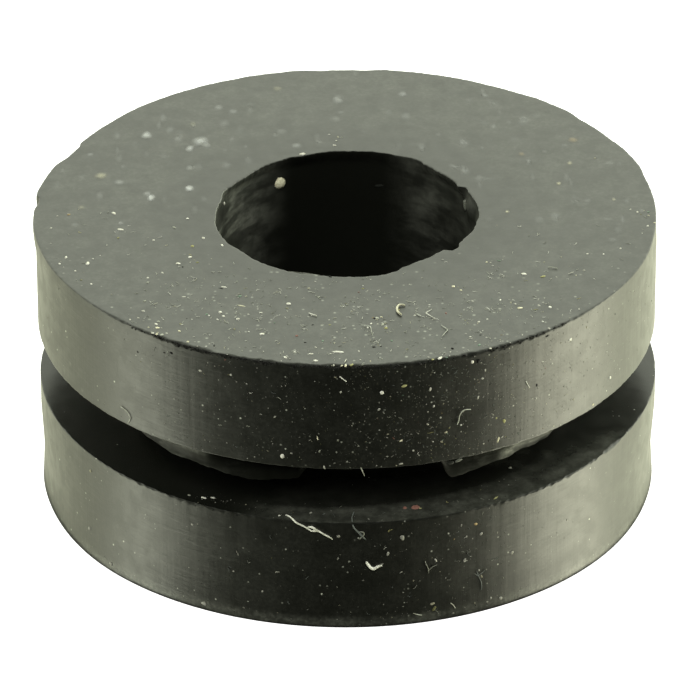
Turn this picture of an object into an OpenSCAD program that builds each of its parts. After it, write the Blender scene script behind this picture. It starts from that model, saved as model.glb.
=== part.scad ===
// Rubber grommet, moulded in one piece: a thick ring with a groove round its outside for
// the edge of a panel, and a plain bore for a cable. It stands on its lower flange, with
// the bore along +Z and the origin at the centre of the lower face.
// Places round the ring are angles in degrees, from the front (-Y) towards +X.

/* [Flanges] */
// Diameter of both flanges, across their plain wall
outer_d = 14.28; // [12.6:0.02:20]
// Thickness of the lower flange
lower_t = 2.75; // [1.8:0.05:6]
// Thickness of the upper flange
upper_t = 2.65; // [1.5:0.05:6]

/* [Groove] */
// Width of the groove that takes the edge of the panel
groove_w = 1.4; // [0.8:0.05:3]
// Diameter of the hub at the bottom of the groove
hub_d = 10; // [7.5:0.1:12]
// Radius of the fillets at the bottom of the groove
groove_fillet_r = 0.2; // [0.05:0.05:0.35]

/* [Bore] */
// Diameter of the bore
bore_d = 6; // [4:0.1:6.8]

/* [Top rim] */
// How far the top rim of the upper flange stands out past the plain wall
top_lip = 0.05; // [0.01:0.01:0.3]
// Height of the straight land of the top rim
top_land = 0.36; // [0.2:0.02:0.6]
// Height over which the wall runs out to the top rim
top_taper = 0.45; // [0.1:0.05:0.7]

/* [Edges] */
// Rounding of the top rim
top_edge_r = 0.05; // [0.02:0.01:0.15]
// Rounding of both edges beside the groove
groove_edge_r = 0.06; // [0.02:0.01:0.1]
// Rounding of the lowest edge
base_edge_r = 0.06; // [0.02:0.01:0.4]

/* [Moulding flash] */
// Thickness of the torn skirts of flash that hang into the groove
skirt_t = 0.1; // [0.05:0.01:0.3]
// How far the skirts hang back from the wall of the upper flange
skirt_inset = 0.12; // [0.11:0.01:0.4]
// Greatest drop of the left skirt below the upper flange
left_skirt_drop = 0.5; // [0.1:0.05:0.7]
// Greatest drop of the right skirt below the upper flange
right_skirt_drop = 0.55; // [0.1:0.05:0.7]
// How far the tag of flash stands out past the top rim
tag_out = 0.06; // [0.02:0.01:0.4]
// Length of the tag along the rim
tag_l = 1.2; // [0.4:0.1:2.5]
// Height of the tag
tag_h = 0.3; // [0.1:0.05:0.8]
// Place of the tag round the rim
tag_angle = -101; // [-180:1:180]

/* [Wear] */
// Depth of the flat that is worn into the top rim
flat_depth = 0.12; // [0.02:0.01:0.3]
// Height of the worn flat
flat_h = 0.7; // [0.2:0.05:1.2]
// Place of the worn flat round the rim
flat_angle = -116; // [-180:1:180]
// How far the chip at the mouth of the bore cuts back from the bore
chip_bite = 0.12; // [0.02:0.01:0.4]
// How far the chip runs down the bore
chip_drop = 0.5; // [0.1:0.05:1.2]
// Radius of the curved face of the chip
chip_r = 1.6; // [0.8:0.1:2]
// Place of the chip round the bore
chip_angle = 98; // [-180:1:180]

/* [Hidden] */
$fn = 96;
overlap = 0.2;                    // how far cutters and fused pieces reach past a face
wall_r = outer_d / 2;
top_rim_r = wall_r + top_lip;
upper_z = lower_t + groove_w;     // underside of the upper flange
height = upper_z + upper_t;
rubber = [0.13, 0.13, 0.12];

// Lower edge of each skirt, from one end to the other: angle, share of its greatest drop
left_skirt = [[-43, 0.3], [-34, 0.6], [-24, 1], [-11, 0.95]];
right_skirt = [[18, 0.7], [19.5, 1], [33, 0.62], [40, 0.35]];

// The waste outside a rounded corner, whose material lies towards -X and -Y
module corner_waste(r) {
    difference() {
        translate([-r, -r]) square(r + overlap);
        translate([-r, -r]) circle(r);
    }
}

// Section of the upper flange, from the axis outwards. Near the top its wall runs out to
// the rim over the taper and then stands straight along the land.
module upper_flange_section() {
    polygon([
        [0, upper_z], [wall_r, upper_z], [wall_r, height - top_land - top_taper],
        [top_rim_r, height - top_land], [top_rim_r, height], [0, height]
    ]);
}

// Section of the ring as a solid of revolution, before the bore is cut
module ring_section() {
    difference() {
        union() {
            square([wall_r, lower_t]);
            hub_section();
            upper_flange_section();
        }
        translate([wall_r, 0]) mirror([0, 1]) corner_waste(base_edge_r);
        translate([wall_r, lower_t]) corner_waste(groove_edge_r);
        translate([wall_r, upper_z]) mirror([0, 1]) corner_waste(groove_edge_r);
        translate([top_rim_r, height]) corner_waste(top_edge_r);
    }
}

// Hub between the flanges, filleted into both
module hub_section() {
    hub_r = hub_d / 2;
    r = groove_fillet_r;
    difference() {
        translate([0, lower_t - overlap]) square([hub_r + r, groove_w + 2 * overlap]);
        translate([hub_r, lower_t + r]) square([r + overlap, groove_w - 2 * r]);
        for (z = [lower_t + r, upper_z - r]) translate([hub_r + r, z]) circle(r);
    }
}

// A thin skirt of flash that hangs from the upper flange, with a torn lower edge
module skirt(edge, drop) {
    r = wall_r - skirt_inset;
    first = edge[0][0];
    last = edge[len(edge) - 1][0];
    middle = (first + last) / 2;
    torn = [for (e = edge) [r * sin(e[0] - middle), -drop * e[1]]];
    intersection() {
        translate([0, 0, upper_z - drop - overlap]) difference() {
            cylinder(r = r, h = drop + 2 * overlap);
            translate([0, 0, -overlap]) cylinder(r = r - skirt_t, h = drop + 4 * overlap);
        }
        translate([0, 0, upper_z]) rotate([90, 0, middle]) linear_extrude(outer_d)
            polygon(concat(
                [[r * sin(first - middle), overlap / 2]],
                torn,
                [[r * sin(last - middle), overlap / 2]]
            ));
    }
}

// A small pointed tag of flash on the top rim
module tag() {
    root = top_rim_r - overlap;
    rotate([0, 0, tag_angle]) translate([0, 0, height - top_edge_r - tag_h])
        linear_extrude(tag_h)
            polygon([
                [-tag_l / 2, -root], [tag_l / 2, -root],
                [tag_l / 6, -(top_rim_r + tag_out)]
            ]);
}

// Waste of the flat that is worn into the top rim
module rim_flat() {
    rotate([0, 0, flat_angle])
        translate([-wall_r, -(top_rim_r - flat_depth) - wall_r, height - flat_h])
            cube([outer_d, wall_r, flat_h + overlap]);
}

// Waste of the chip at the mouth of the bore: a round cutter that leans out of the bore
module bore_chip() {
    lean = atan(chip_bite / chip_drop);
    rotate([0, 0, chip_angle])
        translate([0, chip_r - bore_d / 2 - chip_bite, height])
            rotate([lean, 0, 0])
                translate([0, 0, -2 * chip_drop]) cylinder(r = chip_r, h = 3 * chip_drop);
}

module grommet() {
    color(rubber) difference() {
        union() {
            difference() {
                rotate_extrude() ring_section();
                rim_flat();
            }
            tag();
            skirt(left_skirt, left_skirt_drop);
            skirt(right_skirt, right_skirt_drop);
        }
        translate([0, 0, -overlap]) cylinder(d = bore_d, h = height + 2 * overlap);
        bore_chip();
    }
}

grommet();
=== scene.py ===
import bpy
import bmesh
import math
import random
from mathutils import Matrix, Vector, noise


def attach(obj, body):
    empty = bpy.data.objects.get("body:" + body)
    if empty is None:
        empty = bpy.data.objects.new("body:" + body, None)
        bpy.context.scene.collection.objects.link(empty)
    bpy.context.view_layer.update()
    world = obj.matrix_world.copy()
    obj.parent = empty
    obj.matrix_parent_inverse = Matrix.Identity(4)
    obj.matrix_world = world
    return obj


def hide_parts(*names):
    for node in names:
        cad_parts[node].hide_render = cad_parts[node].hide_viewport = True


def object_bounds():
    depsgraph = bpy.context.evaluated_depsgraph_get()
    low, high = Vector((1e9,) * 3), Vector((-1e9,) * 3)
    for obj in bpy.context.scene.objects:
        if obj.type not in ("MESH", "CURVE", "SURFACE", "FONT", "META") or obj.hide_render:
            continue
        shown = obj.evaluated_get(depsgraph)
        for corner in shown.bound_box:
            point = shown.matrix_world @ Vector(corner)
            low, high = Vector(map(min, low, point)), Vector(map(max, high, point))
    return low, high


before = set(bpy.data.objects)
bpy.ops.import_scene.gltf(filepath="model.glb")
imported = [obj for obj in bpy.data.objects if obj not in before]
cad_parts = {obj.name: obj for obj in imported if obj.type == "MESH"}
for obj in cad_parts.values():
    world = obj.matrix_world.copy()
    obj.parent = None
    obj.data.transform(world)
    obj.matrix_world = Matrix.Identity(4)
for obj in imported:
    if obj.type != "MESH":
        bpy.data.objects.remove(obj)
cadLow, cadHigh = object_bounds()
mm = 0.001
scene = bpy.context.scene

height = cadHigh.z / mm          # all sizes below are in millimetres and degrees
aboutWall = 7                    # a radius near the wall, to turn lengths round it into angles


# Directions round the ring are angles from the front (-Y) towards +X

def outward(angle):
    a = math.radians(angle)
    return Vector((math.sin(a), -math.cos(a), 0))


def ringAngle(co):
    return math.degrees(math.atan2(co.x, -co.y))


def awayFrom(angle, centre):
    return (angle - centre + 180) % 360 - 180


def roundwards(angle):
    a = math.radians(angle)
    return Vector((math.cos(a), math.sin(a), 0))


def placeOf(angle, radius, z):
    return (outward(angle) * radius + Vector((0, 0, z))) * mm


def smooth(low, high, value):
    t = min(max((value - low) / (high - low), 0), 1)
    return t * t * (3 - 2 * t)


def around(edge, angle):
    # value at an angle, eased between the listed places, which close round the ring
    angle %= 360
    for (a, first), (b, second) in zip(edge, edge[1:] + [(edge[0][0] + 360, edge[0][1])]):
        if a <= angle <= b:
            return first + (second - first) * smooth(a, b, angle)
    return edge[0][1]


def meshObject(bm, name, materials):
    mesh = bpy.data.meshes.new(name)
    bm.to_mesh(mesh)
    bm.free()
    piece = bpy.data.objects.new(name, mesh)
    scene.collection.objects.link(piece)
    for material in materials:
        piece.data.materials.append(material)
    return piece


# Camera: a long lens from the front, a third of the way up the sky

cameraSet = {"elevation": 29.77, "roll": -0.13, "distance": 157.5, "lens": 348,
             "aimAside": 0.08, "aimHeight": 0.46}


def addCamera(c):
    lift = math.radians(c["elevation"])
    back = Vector((0, -math.cos(lift), math.sin(lift)))
    aim = Vector((c["aimAside"], 0, c["aimHeight"] * height)) * mm
    cameraData = bpy.data.cameras.new("camera")
    cameraData.lens = c["lens"]
    cameraData.sensor_width = 36
    cameraData.clip_start = 0.01
    camera = bpy.data.objects.new("camera", cameraData)
    turn = (-back).to_track_quat("-Z", "Y").to_matrix().to_4x4()
    roll = Matrix.Rotation(math.radians(c["roll"]), 4, "Z")
    camera.matrix_world = Matrix.Translation(aim + back * c["distance"] * mm) @ turn @ roll
    scene.collection.objects.link(camera)
    scene.camera = camera


addCamera(cameraSet)
print("camera ready")


# Studio: two soft boxes at the sides, a bright sweep behind and darkness in front

studio = {
    "leftBox": {"place": (-200, -38, -170), "size": (98, 330), "glow": 4.9, "tint": (0.97, 1.0, 0.80)},
    "rightBox": {"place": (200, -11, -170), "size": (143, 330), "glow": 6.1, "tint": (1.0, 0.99, 0.76)},
    "sweepTint": (0.95, 1.0, 0.83),
    "lowTint": (0.97, 1.0, 0.72), "tintBand": (-0.3, 0.3),    # warmer below the horizon
    # the sweep's glow along each axis: from where to where it changes, and from how much to
    # how much. It stands behind, fades below the horizon and overhead, and grows to the right
    "bands": [("Y", (-0.35, 0.25), (0.02, 2.35)), ("Z", (-0.5, 0.3), (0.62, 1.0)),
              ("Z", (0.65, 0.92), (1.0, 0.1)), ("X", (-0.1, 0.6), (1.0, 1.55))],
    "backdropGlow": 1.2,
    "floorGlow": 0.8,
    "fill": {"place": (-40, -170, 210), "size": 160, "glow": 7.0, "tint": (1, 1, 0.93)},
    "shadeRadius": 7.28,             # the floor right under the ring, which it keeps dark
}


def addSoftBox(name, box):
    lamp = bpy.data.lights.new(name, "AREA")
    lamp.shape = "RECTANGLE"
    lamp.size, lamp.size_y = [s * mm for s in box["size"]]
    lamp.energy = box["glow"] * math.pi * lamp.size * lamp.size_y
    lamp.color = box["tint"]
    holder = bpy.data.objects.new(name, lamp)
    holder.location = Vector(box["place"]) * mm
    facing = Vector((-box["place"][0], 0, 0)).to_track_quat("-Z", "Y")
    holder.rotation_mode = "QUATERNION"
    holder.rotation_quaternion = facing
    holder.visible_camera = False
    scene.collection.objects.link(holder)


def addFill(box):
    # lights the dust from the front, and is too large and soft to be mirrored in the rubber
    lamp = bpy.data.lights.new("fill", "AREA")
    lamp.size = box["size"] * mm
    lamp.energy = box["glow"] * math.pi * lamp.size * lamp.size
    lamp.color = box["tint"]
    holder = bpy.data.objects.new("fill", lamp)
    holder.location = Vector(box["place"]) * mm
    holder.rotation_mode = "QUATERNION"
    holder.rotation_quaternion = (-holder.location).to_track_quat("-Z", "Y")
    holder.visible_camera = False
    holder.visible_glossy = False
    scene.collection.objects.link(holder)


def addNode(tree, kind, **settings):
    node = tree.nodes.new(kind)
    for name, value in settings.items():
        setattr(node, name, value)
    return node


def newMaterial(name, roughness, specular=0.5):
    material = bpy.data.materials.new(name)
    material.use_nodes = True
    tree = material.node_tree
    shader = tree.nodes["Principled BSDF"]
    shader.inputs["Roughness"].default_value = roughness
    shader.inputs["Specular IOR Level"].default_value = specular
    return material, tree, shader


def ranged(tree, value, low, high, toLow=0.0, toHigh=1.0):
    # an eased Map Range fed by value
    node = addNode(tree, "ShaderNodeMapRange", interpolation_type="SMOOTHSTEP")
    tree.links.new(value, node.inputs["Value"])
    for name, number in (("From Min", low), ("From Max", high), ("To Min", toLow), ("To Max", toHigh)):
        if isinstance(number, (int, float)):
            node.inputs[name].default_value = number
        else:
            tree.links.new(number, node.inputs[name])
    return node.outputs["Result"]


def math2(tree, operation, first, second):
    node = addNode(tree, "ShaderNodeMath", operation=operation)
    for socket, value in zip(node.inputs, (first, second)):
        if isinstance(value, (int, float)):
            socket.default_value = value
        else:
            tree.links.new(value, socket)
    return node.outputs["Value"]


def mixed(tree, factor, first, second, blend="MIX"):
    node = addNode(tree, "ShaderNodeMix", data_type="RGBA", blend_type=blend)
    for name, value in (("Factor", factor), ("A", first), ("B", second)):
        if isinstance(value, tuple):
            node.inputs[name].default_value = value
        else:
            tree.links.new(value, node.inputs[name])
    return node.outputs["Result"]


def bumped(tree, relief, depth, under=None):
    bump = addNode(tree, "ShaderNodeBump")
    bump.inputs["Distance"].default_value = depth * mm
    tree.links.new(relief, bump.inputs["Height"])
    if under is not None:
        tree.links.new(under, bump.inputs["Normal"])
    return bump.outputs["Normal"]


def addSweep(s):
    world = bpy.data.worlds.new("sweep")
    world.use_nodes = True
    scene.world = world
    tree = world.node_tree
    tree.nodes.clear()
    out = addNode(tree, "ShaderNodeOutputWorld")
    mix = addNode(tree, "ShaderNodeMixShader")
    path = addNode(tree, "ShaderNodeLightPath")
    backdrop = addNode(tree, "ShaderNodeBackground")
    backdrop.inputs["Color"].default_value = (1, 1, 1, 1)
    backdrop.inputs["Strength"].default_value = s["backdropGlow"]
    light = addNode(tree, "ShaderNodeBackground")
    where = addNode(tree, "ShaderNodeTexCoord")
    axes = addNode(tree, "ShaderNodeSeparateXYZ")
    tree.links.new(where.outputs["Generated"], axes.inputs["Vector"])
    tint = mixed(tree, ranged(tree, axes.outputs["Z"], *s["tintBand"]), (*s["lowTint"], 1),
                 (*s["sweepTint"], 1))
    tree.links.new(tint, light.inputs["Color"])
    behind, below, above, aside = [
        ranged(tree, axes.outputs[axis], *band, *glows) for axis, band, glows in s["bands"]]
    strength = math2(tree, "MULTIPLY", math2(tree, "MULTIPLY", behind, below),
                     math2(tree, "MULTIPLY", above, aside))
    tree.links.new(strength, light.inputs["Strength"])
    tree.links.new(path.outputs["Is Camera Ray"], mix.inputs["Fac"])
    tree.links.new(light.outputs["Background"], mix.inputs[1])
    tree.links.new(backdrop.outputs["Background"], mix.inputs[2])
    tree.links.new(mix.outputs["Shader"], out.inputs["Surface"])


def addFloor(s):
    bm = bmesh.new()
    bmesh.ops.create_grid(bm, x_segments=1, y_segments=1, size=2)
    material, tree, shader = newMaterial("floorWhite", 0.9, 0)
    shader.inputs["Base Color"].default_value = (0.9, 0.9, 0.9, 1)
    shader.inputs["Emission Color"].default_value = (1, 1, 1, 1)
    shader.inputs["Emission Strength"].default_value = s["floorGlow"]
    floor = meshObject(bm, "floor", [material])
    floor.visible_glossy = False      # the walls mirror the soft boxes, which reach below it
    floor.visible_diffuse = False
    floor.visible_shadow = False


def addShade(s):
    bm = bmesh.new()
    bmesh.ops.create_circle(bm, cap_ends=True, segments=96, radius=s["shadeRadius"] * mm,
                            matrix=Matrix.Translation((0, 0, -0.01 * mm)))
    material, tree, shader = newMaterial("shadedFloor", 1)
    shader.inputs["Base Color"].default_value = (0.01, 0.01, 0.01, 1)
    shade = meshObject(bm, "floorShade", [material])
    shade.visible_camera = False


for name in ("leftBox", "rightBox"):
    addSoftBox(name, studio[name])
addFill(studio["fill"])
addSweep(studio)
addFloor(studio)
addShade(studio)
scene.view_settings.view_transform = "Standard"
print("studio ready")


# Effects that several finishes share

def newGroup(name, inputs, outputs):
    group = bpy.data.node_groups.new(name, "ShaderNodeTree")
    for socket, kind, value in inputs:
        made = group.interface.new_socket(name=socket, in_out="INPUT", socket_type=kind)
        made.default_value = value
    for socket, kind in outputs:
        group.interface.new_socket(name=socket, in_out="OUTPUT", socket_type=kind)
    return group, addNode(group, "NodeGroupInput"), addNode(group, "NodeGroupOutput")


def noiseOf(tree, vector, scale, detail=2.0, roughness=0.5):
    node = addNode(tree, "ShaderNodeTexNoise")
    node.inputs["Detail"].default_value = detail
    node.inputs["Roughness"].default_value = roughness
    tree.links.new(vector, node.inputs["Vector"])
    if isinstance(scale, (int, float)):
        node.inputs["Scale"].default_value = scale
    else:
        tree.links.new(scale, node.inputs["Scale"])
    return node.outputs["Fac"]


def makeMarks():
    # noise drawn out along the surface: streaks, turned lines, slanting scrapes
    group, start, end = newGroup(
        "drawnMarks",
        [("Vector", "NodeSocketVector", (0, 0, 0)), ("Stretch", "NodeSocketVector", (1, 1, 1)),
         ("Twist", "NodeSocketFloat", 0.0), ("Scale", "NodeSocketFloat", 1000.0),
         ("Low", "NodeSocketFloat", 0.35), ("High", "NodeSocketFloat", 0.65)],
        [("Mask", "NodeSocketFloat")])
    axes = addNode(group, "ShaderNodeSeparateXYZ")
    group.links.new(start.outputs["Vector"], axes.inputs["Vector"])
    turn = addNode(group, "ShaderNodeVectorRotate", rotation_type="Z_AXIS")
    group.links.new(start.outputs["Vector"], turn.inputs["Vector"])
    group.links.new(math2(group, "MULTIPLY", axes.outputs["Z"], start.outputs["Twist"]),
                    turn.inputs["Angle"])
    stretch = addNode(group, "ShaderNodeVectorMath", operation="MULTIPLY")
    group.links.new(turn.outputs["Vector"], stretch.inputs[0])
    group.links.new(start.outputs["Stretch"], stretch.inputs[1])
    lines = noiseOf(group, stretch.outputs["Vector"], start.outputs["Scale"], 3.0, 0.6)
    group.links.new(ranged(group, lines, start.outputs["Low"], start.outputs["High"]),
                    end.inputs["Mask"])
    return group


def makeFilm():
    # powdery dust, and in places painted light and shade: soft patches broken up by a fine grain
    group, start, end = newGroup(
        "dustAndPaintedLightFilm",
        [("Vector", "NodeSocketVector", (0, 0, 0)), ("Patches", "NodeSocketFloat", 1500.0),
         ("Grain", "NodeSocketFloat", 12000.0), ("Evenness", "NodeSocketFloat", 0.3),
         ("Amount", "NodeSocketFloat", 0.1)],
        [("Mask", "NodeSocketFloat")])
    patches = noiseOf(group, start.outputs["Vector"], start.outputs["Patches"], 3.0, 0.6)
    grain = noiseOf(group, start.outputs["Vector"], start.outputs["Grain"], 2.0, 0.6)
    broken = math2(group, "MULTIPLY", ranged(group, patches, 0.3, 0.75, 0.35, 1.0),
                   ranged(group, grain, 0.35, 0.75, start.outputs["Evenness"], 1.6))
    group.links.new(math2(group, "MULTIPLY", broken, start.outputs["Amount"]), end.inputs["Mask"])
    return group


def makeSpecks():
    # tiny pale grains, one in some of the cells of a Voronoi pattern
    group, start, end = newGroup(
        "fineSpecks",
        [("Vector", "NodeSocketVector", (0, 0, 0)), ("Scale", "NodeSocketFloat", 8000.0),
         ("Share", "NodeSocketFloat", 0.3), ("Size", "NodeSocketFloat", 0.2)],
        [("Mask", "NodeSocketFloat")])
    cells = addNode(group, "ShaderNodeTexVoronoi")
    group.links.new(start.outputs["Vector"], cells.inputs["Vector"])
    group.links.new(start.outputs["Scale"], cells.inputs["Scale"])
    chance = addNode(group, "ShaderNodeSeparateColor")
    group.links.new(cells.outputs["Color"], chance.inputs["Color"])
    chosen = math2(group, "LESS_THAN", chance.outputs["Red"], start.outputs["Share"])
    size = math2(group, "MULTIPLY", start.outputs["Size"], chance.outputs["Green"])
    dot = ranged(group, cells.outputs["Distance"], size, 0.0)
    strength = math2(group, "MULTIPLY", chosen, math2(group, "POWER", chance.outputs["Blue"], 2.0))
    group.links.new(math2(group, "MULTIPLY", dot, strength), end.inputs["Mask"])
    return group


def makeGrain():
    # the fine uneven skin of moulded rubber
    group, start, end = newGroup(
        "mouldedGrain",
        [("Vector", "NodeSocketVector", (0, 0, 0)), ("Fine", "NodeSocketFloat", 14000.0),
         ("Coarse", "NodeSocketFloat", 2500.0)],
        [("Height", "NodeSocketFloat"), ("Blotch", "NodeSocketFloat")])
    fine = noiseOf(group, start.outputs["Vector"], start.outputs["Fine"], 2.0, 0.55)
    coarse = noiseOf(group, start.outputs["Vector"], start.outputs["Coarse"], 2.0, 0.5)
    group.links.new(math2(group, "ADD", fine, coarse), end.inputs["Height"])
    group.links.new(ranged(group, coarse, 0.3, 0.7), end.inputs["Blotch"])
    return group


def makeSmear():
    # a soft round smudge about a place
    group, start, end = newGroup(
        "softSmear",
        [("Vector", "NodeSocketVector", (0, 0, 0)), ("Place", "NodeSocketVector", (0, 0, 0)),
         ("Reach", "NodeSocketFloat", 0.001)],
        [("Mask", "NodeSocketFloat")])
    distance = addNode(group, "ShaderNodeVectorMath", operation="DISTANCE")
    group.links.new(start.outputs["Vector"], distance.inputs[0])
    group.links.new(start.outputs["Place"], distance.inputs[1])
    group.links.new(ranged(group, distance.outputs["Value"], start.outputs["Reach"], 0.0),
                    end.inputs["Mask"])
    return group


drawnMarks, dustAndPaintedLightFilm, fineSpecks = makeMarks(), makeFilm(), makeSpecks()
mouldedGrain, softSmear = makeGrain(), makeSmear()


def placed(tree, group, values):
    node = addNode(tree, "ShaderNodeGroup", node_tree=group)
    for name, value in values.items():
        if isinstance(value, (int, float, tuple)):
            node.inputs[name].default_value = value
        else:
            tree.links.new(value, node.inputs[name])
    return node


def smeared(tree, where, smears, amount):
    for angle, radius, z, reach, much in smears:
        smear = placed(tree, softSmear, {"Vector": where, "Reach": reach * mm,
                                         "Place": tuple(placeOf(angle, radius, z))})
        amount = math2(tree, "ADD", math2(tree, "MULTIPLY", smear.outputs["Mask"], much), amount)
    return amount


def makePowder(name, f):
    # pale matt stuff in one colour or in the tints of its piece, blotched by its grain
    material, tree, shader = newMaterial(name, f["roughness"], f["specular"])
    where = addNode(tree, "ShaderNodeTexCoord").outputs["Object"]
    color = f.get("color") or addNode(
        tree, "ShaderNodeAttribute", attribute_name="tint").outputs["Color"]
    grain = placed(tree, mouldedGrain, {"Vector": where, "Fine": f["fine"], "Coarse": f["coarse"]})
    shade = mixed(tree, grain.outputs["Blotch"], color, f["shade"], "MULTIPLY")
    tree.links.new(shade, shader.inputs["Base Color"])
    if f["depth"]:
        relief = bumped(tree, grain.outputs["Height"], f["depth"])
        tree.links.new(relief, shader.inputs["Normal"])
    return material, tree, shader


# Finishes of the rubber: one recipe, with its own values for each part of the surface

# pale film colour: dust, and painted light where the film stands in for light
dustAndPaintedLightColor = (0.61, 0.635, 0.54, 1)
rubberBase = (0.006, 0.0065, 0.005, 1)

# Film thins out by fades: axis, first and last place in mm, share at each of them.
# Smears add film round a place: angle, radius, height, reach, how much
plainFinish = {"centre": (0, 0), "smears": [], "streaky": 0, "specular": 0.5, "speckScale": 8000,
               "speckFades": [], "twist": 0, "scoreFades": [], "scoreBand": (0.45, 0.62)}
finishes = {
    "rubberFace": {"roughness": 0.40, "blotch": 0.02, "film": 0.042,
                   "fades": [("radius", 3.3, 5, 0.3, 1)],
                   "patches": 2000, "evenness": 0.75,
                   "speckShare": 0.33, "speckSize": 0.46, "speckScale": 7000,
                   "speckFades": [("Y", -5.5, -0.5, 1, 0.06)],
                   "stretch": (1, 1, 1), "marks": 900, "markDepth": 0.0002,
                   "scores": (0.3, 0.3, 1), "scoreScale": 2500,
                   "scoreDepth": 0.0012, "grainDepth": 0.0007},
    "rubberWall": {"roughness": 0.38, "blotch": 0.03, "film": 0.015,
                   # the film drops to a fifth below 0.09 mm: painted contact shade at the foot; above
                   # it, a band of dust up to 0.36 mm
                   "fades": [("Z", 0.02, 0.09, 0.2, 1), ("Z", 0.12, 0.36, 6.5, 1),
                             ("aside", 0.5, 3, 1, 1.2)],
                   "smears": [(-64.2, 7.15, 4.38, 0.1, 0.12), (-61.5, 7.15, 4.74, 0.09, 0.1),
                              (-57.1, 7.15, 4.32, 0.08, 0.1), (-65.3, 7.15, 4.85, 0.07, 0.08),
                              (-33, 7.15, 4.2, 0.3, 0.02), (-26, 7.15, 4.17, 0.3, 0.03),
                              (-20, 7.15, 4.17, 0.25, 0.02)],
                   "patches": 1500, "evenness": 0.7, "speckShare": 0.45, "speckSize": 0.3,
                   "stretch": (1, 1, 0.03), "marks": 4500, "markDepth": 0.0013,
                   "scores": (0.12, 0.12, 1), "scoreScale": 9000,
                   "scoreFades": [("Y", -6, -0.5, 1, 0.15), ("X", -6, -1, 1, 0.6)],
                   "scoreDepth": 0.002, "grainDepth": 0.0004},
    # groove film: dust on the outer ledge, and painted shade where it thins to a fifth inside radius
    # 6.4-6.6 mm, under the upper flange; the fifth left there lifts the shaded groove a little, painted
    # light
    "rubberGroove": {"roughness": 0.25, "blotch": 0.015, "film": 0.068, "centre": (-0.45, 0),
                     "fades": [("radius", 6.38, 6.62, 0.2, 1), ("X", -2.8, -1, 0, 1),
                               ("Y", -6.5, -2.8, 1, 0.15)],
                     "smears": [(62.5, 7, 2.75, 0.3, 0.05), (59.5, 6.95, 2.75, 0.4, 0.07),
                                (56, 6.92, 2.75, 0.4, 0.07), (52.5, 6.9, 2.75, 0.4, 0.07),
                                (49, 6.88, 2.75, 0.4, 0.045), (45.5, 6.85, 2.75, 0.4, 0.03),
                                (48, 6.15, 2.75, 0.3, 0.04), (40, 5.95, 2.75, 0.3, 0.045),
                                (45, 5.6, 2.75, 0.4, 0.05), (38, 5.6, 2.75, 0.4, 0.05)],
                     "patches": 2500, "evenness": 1.2, "specular": 0.25,
                     "speckShare": 0.1, "speckSize": 0.25,
                     "stretch": (1, 1, 0.3), "marks": 1500, "markDepth": 0.001,
                     "scores": (0.2, 0.2, 1), "scoreScale": 4000,
                     "scoreDepth": 0.0002, "grainDepth": 0.0004},
    # the bore's heavy film is dust and painted light: none on the back wall in the middle, more at the
    # sides and up towards the mouth, where light falls in
    "rubberBore": {"roughness": 0.42, "blotch": 0.05, "film": 0.27, "centre": (-0.2, 0),
                   "fades": [("aside", 1.0, 2.4, 0, 1), ("X", -2.3, -1, 1, 0.38),
                             ("X", 1.8, 2.6, 1, 0.5), ("Z", 4.3, 5.9, 0.5, 1),
                             ("Z", 6.2, 6.75, 1, 1.4)],
                   "streaky": 0.7, "patches": 1800, "evenness": 1.3, "specular": 0.6,
                   "speckShare": 0, "speckSize": 0.25,
                   "stretch": (0.3, 0.3, 1), "twist": 60, "marks": 2600, "markDepth": 0.002,
                   "scores": (0.25, 0.25, 1), "scoreScale": 3000,
                   "scoreDepth": 0.0005, "grainDepth": 0.0005},
}


def fading(tree, axes, fades, amount):
    for axis, low, high, atLow, atHigh in fades:
        share = ranged(tree, axes[axis], low * mm, high * mm, atLow, atHigh)
        amount = math2(tree, "MULTIPLY", share, amount)
    return amount


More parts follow.
